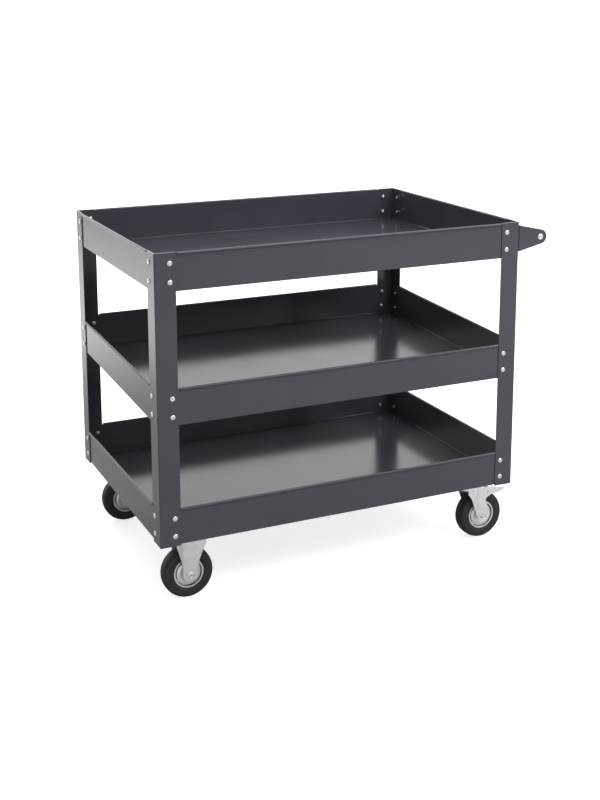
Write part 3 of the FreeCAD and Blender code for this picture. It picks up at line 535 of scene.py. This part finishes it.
def cross_ring(reach, z, half_width):
    """A plus-shaped ring of points: four arms of the given reach and half width."""
    def section(angle):
        c, s = abs(math.cos(angle)), abs(math.sin(angle))
        along, over = max(c, s), min(c, s)
        r = min(reach / along, half_width / max(over, 1e-6))
        inner = half_width * math.sqrt(2)
        r = max(r, inner if over > 0.5 else half_width)
        return min(r, reach), z

    return around(ROUND, section)


def button_head_mesh():
    """Button head with a hexagon socket, from z = 0 up."""
    rings = [ring(BUTTON_RADIUS - inset, z) for inset, z in (
        (0.2, 0), (0, 0.2), (0, 0.6), (0.4, 1.15), (1.2, 1.9), (2.3, 2.6), (3.4, 3.0),
    )]
    rings += [
        ring(3.9, BUTTON_HEIGHT),
        ring(3.1, BUTTON_HEIGHT),
        hexagon_ring(BUTTON_SOCKET, BUTTON_HEIGHT - 0.25),
        hexagon_ring(BUTTON_SOCKET, BUTTON_HEIGHT - 2.2),
        ring(0.4, BUTTON_HEIGHT - 2.6),
    ]
    return grid_mesh("button_head", rings)


def toward(axis, sign):
    """Rotation that carries +Z onto a signed axis."""
    direction = Vector((0, 0, 0))
    direction[axis] = sign
    return direction.to_track_quat("Z", "Y").to_matrix().to_4x4()


def axis_of(pick, lo, hi):
    """The axis along which a box is longest or shortest, with pick as max or min."""
    spans = [hi[k] - lo[k] for k in range(3)]
    return spans.index(pick(spans))


def foot_at(lo, hi, axis, sign, head_height=0.0):
    """Middle of a box's low (-1) or high (+1) face, moved in by the height of a head."""
    foot = (lo + hi) / 2
    foot[axis] = (hi[axis] if sign > 0 else lo[axis]) - sign * head_height * MM
    return foot


def placed(foot, axis, sign, angle=0.0):
    """Matrix that puts a fastener's z = 0 at its foot, turned about its own axis."""
    turn = Matrix.Rotation(angle, 4, "Z")
    return Matrix.Translation(foot) @ toward(axis, sign) @ turn


def frame_screws():
    """Pan head screws with threaded ends, and their chamfered nuts, each at its own angle."""
    head = pan_head_mesh()
    rod = threaded_rod(M6_RADIUS, -M6_LENGTH, 0.0, M6_PITCH)
    nut = nut_mesh(*M6_NUT)
    for tray in ("top", "middle", "bottom"):
        parts = []
        for k, (lo, hi) in enumerate(islands("screws_" + tray)):
            axis = axis_of(max, lo, hi)
            sign = 1 if (lo[axis] + hi[axis]) / 2 > CAD_BOX_MID[axis] else -1
            foot = foot_at(lo, hi, axis, sign, PAN_HEIGHT)
            place = placed(foot, axis, sign, math.radians(23 * k + 11))
            parts += [(head, place), (rod, place)]
        stand_in("screw_set_" + tray, joined("screw_set_" + tray, parts), "screws_" + tray)
        parts = []
        for k, (lo, hi) in enumerate(islands("nuts_" + tray)):
            axis = axis_of(min, lo, hi)
            foot = foot_at(lo, hi, axis, -1)
            parts.append((nut, placed(foot, axis, 1, math.radians(17 * k))))
        stand_in("nut_set_" + tray, joined("nut_set_" + tray, parts), "nuts_" + tray)


def caster_fasteners():
    """Studs and nuts over the caster plates, axle bolts and nuts."""
    nut = nut_mesh(*M8_NUT)
    parts = []
    for k, (lo, hi) in enumerate(islands("caster_nuts")):
        turn = Matrix.Rotation(math.radians(19 * k), 4, "Z")
        parts.append((nut, Matrix.Translation(foot_at(lo, hi, 2, -1)) @ turn))
    stand_in("caster_nut_set", joined("caster_nut_set", parts), "caster_nuts")
    parts = []
    for lo, hi in islands("caster_studs"):
        stud = threaded_rod(M8_RADIUS, 0.0, (hi.z - lo.z) / MM, M8_PITCH)
        parts.append((stud, Matrix.Translation(foot_at(lo, hi, 2, -1))))
    stand_in("caster_stud_set", joined("caster_stud_set", parts), "caster_studs")

    head = bolt_head_mesh()
    for name in ("fixed_axle_bolts", "swivel_axle_bolt_front", "swivel_axle_bolt_back"):
        parts = []
        for lo, hi in islands(name):
            length = (hi.y - lo.y) / MM - BOLT_HEAD_HEIGHT
            shank = threaded_rod(M8_RADIUS, -length, 0.0, M8_PITCH)
            foot = foot_at(lo, hi, 1, -1, BOLT_HEAD_HEIGHT)
            place = placed(foot, 1, -1, BOLT_TURN)
            parts += [(head, place), (shank, place)]
        stand_in("fine_" + name, joined("fine_" + name, parts), name)
    for name in ("fixed_axle_nuts", "swivel_axle_nut_front", "swivel_axle_nut_back"):
        parts = []
        for lo, hi in islands(name):
            parts.append((nut, placed(foot_at(lo, hi, 1, -1), 1, 1, AXLE_NUT_TURN)))
        stand_in("fine_" + name, joined("fine_" + name, parts), name)


def handle_screws():
    """Button head screws through the brackets' ears into the handle tube."""
    head = button_head_mesh()
    parts = []
    for lo, hi in islands("handle_screws"):
        sign = 1 if (lo.y + hi.y) / 2 > 0 else -1
        length = (hi.y - lo.y) / MM - BUTTON_HEIGHT
        rod = threaded_rod(M8_RADIUS, -length, 0.0, M8_PITCH)
        place = placed(foot_at(lo, hi, 1, sign, BUTTON_HEIGHT), 1, sign)
        parts += [(head, place), (rod, place)]
    stand_in("fine_handle_screws", joined("fine_handle_screws", parts), "handle_screws")


# ------------------------------------------------------------------ wheels

# Outlines are in millimetres: the radius, the distance across from the wheel's middle
# plane and, where corners are rounded, the corner's own radius.
RIVET_FROM_AXLE = 27.2
RIM_FACE = 15.0
TYRE_ROUND, RIM_ROUND, HUB_ROUND, RIVET_ROUND = 112, 96, 48, 16
TYRE_SHARP_FROM, RIM_SHARP_FROM = 24, 30


def tyre_outline():
    """Section of the tyre: two shoulder grooves, a tread crown and a stepped sidewall."""
    half = [
        (62.5, 0.0), (62.3, 6.0), (61.9, 9.6), (61.4, 11.2), (60.3, 11.5), (60.3, 12.3),
        (61.0, 12.6), (60.3, 14.2), (59.7, 14.9), (58.7, 15.1), (58.5, 15.8), (58.6, 16.4),
        (57.2, 17.5), (55.0, 18.5), (52.6, 19.1), (51.2, 19.25), (50.6, 18.9), (46.5, 18.9),
        (46.0, 19.2), (44.6, 19.1), (44.2, 18.7), (40.2, 17.9), (38.7, 17.1), (37.5, 15.0),
        (36.4, 14.9), (35.0, 14.9),
    ]
    other = [(r, -across) for r, across in half[1:]]
    return half + other[::-1]


def rim_outline():
    """Section of one rim half: rolled lip, deep groove, dished disc with a raised ring."""
    return rounded_outline([
        (13.5, 15.0, 0.3), (19.2, 15.0, 1.0), (20.6, 16.4, 1.2), (24.4, 16.4, 1.2),
        (25.8, 15.0, 1.0), (29.6, 15.0, 1.4), (29.6, 1.5, 1.2), (33.4, 1.5, 1.2),
        (33.4, 16.5, 0.9), (37.2, 16.5, 0.8), (37.2, 15.0, 0.5), (34.9, 15.0, 0.4),
        (34.9, 0.0, 0.6), (28.1, 0.0, 0.6), (28.1, 13.5, 0.6), (25.2, 13.5, 0.6),
        (23.9, 14.8, 0.6), (21.2, 14.8, 0.6), (19.8, 13.5, 0.6), (13.5, 13.5, 0.2),
    ], 3)


def hub_outline():
    return rounded_outline([
        (10.5, -24.0, 0.4), (13.5, -24.0, 0.7), (13.5, 24.0, 0.7), (10.5, 24.0, 0.4),
    ], 2)


def wheels():
    tyre = mesh_of("tyre", lathe(tyre_outline(), TYRE_ROUND))
    rim_half = mesh_of("rim_half", lathe(rim_outline(), RIM_ROUND))
    hub = mesh_of("hub", lathe(hub_outline(), HUB_ROUND))
    flip = Matrix.Rotation(math.pi, 4, "Z")
    rivet = grid_mesh("rim_rivet", [
        ring(radius, z, RIVET_ROUND) for radius, z in ((1.9, 0), (1.9, 0.3), (1.3, 0.8))
    ])
    for end in ("front", "back"):
        for side in ("left", "right"):
            name = "wheel_" + end + "_" + side
            lo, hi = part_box(name + "_tyre")
            here = Matrix.Translation((Vector(lo) + Vector(hi)) / 2)
            tyre_mesh = joined(name + "_t", [(tyre, here)])
            stand_in(name + "_moulded_tyre", tyre_mesh, name + "_tyre", TYRE_SHARP_FROM)
            parts = [(rim_half, here), (rim_half, here @ flip), (hub, here)]
            for k in range(4):
                spin = Matrix.Rotation(math.radians(45 + 90 * k), 4, "Y")
                for sign in (1, -1):
                    foot = (RIVET_FROM_AXLE * MM, sign * RIM_FACE * MM, 0)
                    parts.append((rivet, here @ spin @ placed(foot, 1, sign)))
            rim_mesh = joined(name + "_r", parts)
            stand_in(name + "_pressed_rim", rim_mesh, name + "_rim", RIM_SHARP_FROM)
            refined(name + "_bearing", 0.15, 1)


def turned_parts():
    for node in ("handle_tube", "handle_plugs", "kingpins",
                 "brake_rivets_front", "brake_rivets_back"):
        refined(node, 0.2)


# ------------------------------------------------------------------ floor, light, camera

# The backdrop stays white in the picture without flooding the cart with light: rays from
# the camera see the brighter floor and sky, all other rays the dimmer ones.
FLOOR_SEEN = ((0.68, 0.68, 0.68), (0.70, 0.70, 0.70))
FLOOR_GLOW_SEEN = 0.70
FLOOR_FOR_LIGHT = (0.54, 0.54, 0.54)
FLOOR_DROP = 0.0005    # keeps the floor just clear of the tyres
SKY_SEEN = 1.05


def pale_floor():
    bm = bmesh.new()
    bmesh.ops.create_circle(bm, cap_ends=True, segments=96, radius=30.0)
    floor = new_object("floor", mesh_of("floor", bm))
    material, tree, shader = node_material("floor_white")
    colour = blended(tree, noise_of(tree, 0.8, 2.0), *FLOOR_SEEN)
    path = add(tree, "ShaderNodeLightPath")
    seen = add(tree, "ShaderNodeMix", data_type="RGBA")
    seen.inputs[6].default_value = (*FLOOR_FOR_LIGHT, 1)
    tree.links.new(path.outputs["Is Camera Ray"], seen.inputs["Factor"])
    tree.links.new(colour, seen.inputs[7])
    tree.links.new(seen.outputs[2], shader.inputs["Base Color"])
    shader.inputs["Roughness"].default_value = 0.9
    shader.inputs["Specular IOR Level"].default_value = 0.1
    shader.inputs["Emission Color"].default_value = (1, 1, 1, 1)
    glow = add(tree, "ShaderNodeMath", operation="MULTIPLY")
    glow.inputs[1].default_value = FLOOR_GLOW_SEEN
    tree.links.new(path.outputs["Is Camera Ray"], glow.inputs[0])
    tree.links.new(glow.outputs[0], shader.inputs["Emission Strength"])
    floor.data.materials.append(material)
    floor.location.z = -FLOOR_DROP


def soft_box(name, place, target, size, power):
    light = bpy.data.lights.new(name, "AREA")
    light.shape = "RECTANGLE"
    light.size, light.size_y = size
    light.energy = power
    lamp = bpy.data.objects.new(name, light)
    bpy.context.scene.collection.objects.link(lamp)
    lamp.location = place
    aim = Vector(target) - Vector(place)
    lamp.rotation_euler = aim.to_track_quat("-Z", "Y").to_euler()


def facing(tree, direction, from_range, to_range):
    """How far the sky direction faces a given one, mapped to a brightness."""
    coords = add(tree, "ShaderNodeTexCoord")
    dot = add(tree, "ShaderNodeVectorMath", operation="DOT_PRODUCT")
    dot.inputs[1].default_value = Vector(direction).normalized()
    tree.links.new(coords.outputs["Generated"], dot.inputs[0])
    return mapped(tree, dot.outputs["Value"], from_range, to_range,
                  interpolation_type="SMOOTHSTEP")


def studio():
    """Pale sky, brightest behind the cart and next at the front left, and soft boxes.

    Two boxes light the floor beside the cart, one the front and one the trays from above.
    """
    world = bpy.data.worlds.new("studio")
    bpy.context.scene.world = world
    world.use_nodes = True
    tree = world.node_tree
    background = tree.nodes["Background"]
    background.inputs["Color"].default_value = (1, 1, 1, 1)
    back = facing(tree, (0.40, 0.89, 0.15), (0.1, 0.65), (0.32, 1.90))
    front_left = facing(tree, (-0.30, -0.85, 0.42), (0.35, 0.95), (0.0, 0.75))
    total = add(tree, "ShaderNodeMath", operation="ADD")
    tree.links.new(back, total.inputs[0])
    tree.links.new(front_left, total.inputs[1])
    path = add(tree, "ShaderNodeLightPath")
    seen = add(tree, "ShaderNodeMix", data_type="FLOAT")
    tree.links.new(path.outputs["Is Camera Ray"], seen.inputs["Factor"])
    tree.links.new(total.outputs[0], seen.inputs["A"])
    seen.inputs["B"].default_value = SKY_SEEN
    tree.links.new(seen.outputs["Result"], background.inputs["Strength"])
    soft_box("left_back_pool", (-2.2, 3.0, 1.5), (-2.7, 3.7, 0), (3.8, 4.0), 180)
    soft_box("right_front_pool", (2.6, -3.6, 1.2), (2.6, -3.6, 0), (2.0, 2.4), 40)
    soft_box("front_box", (1.7, -2.5, 2.8), (0, 0, 0.5), (2.8, 0.8), 72)
    soft_box("top_box", (0.2, 0.2, 3.4), (0, 0, 0.4), (2.4, 2.4), 20)
    bpy.context.scene.view_settings.view_transform = "Standard"


# Fitted to the photograph: metres, radians and millimetres.
CAMERA_PLACE = (-1.3366, -2.8625, 1.3798)
CAMERA_HEADING = 0.4323
CAMERA_TILT = 0.195
CAMERA_ROLL = -0.0018
CAMERA_LENS = 56.1
CAMERA_SENSOR = 36.0
CAMERA_RISE = -0.1875


def camera():
    data = bpy.data.cameras.new("camera")
    data.lens = CAMERA_LENS
    data.sensor_width = CAMERA_SENSOR
    data.shift_y = CAMERA_RISE
    data.clip_start, data.clip_end = 0.05, 100
    eye = bpy.data.objects.new("camera", data)
    bpy.context.scene.collection.objects.link(eye)
    forward = Vector((
        math.sin(CAMERA_HEADING) * math.cos(CAMERA_TILT),
        math.cos(CAMERA_HEADING) * math.cos(CAMERA_TILT),
        -math.sin(CAMERA_TILT),
    ))
    level = Vector((math.cos(CAMERA_HEADING), -math.sin(CAMERA_HEADING), 0))
    above = level.cross(forward)
    right = level * math.cos(CAMERA_ROLL) + above * math.sin(CAMERA_ROLL)
    up = above * math.cos(CAMERA_ROLL) - level * math.sin(CAMERA_ROLL)
    turn = Matrix((right, up, -forward)).transposed()
    eye.matrix_world = Matrix.Translation(CAMERA_PLACE) @ turn.to_4x4()
    bpy.context.scene.camera = eye


paint_cad_nodes()
sheet_metal()
frame_screws()
caster_fasteners()
handle_screws()
wheels()
turned_parts()
pale_floor()
studio()
camera()
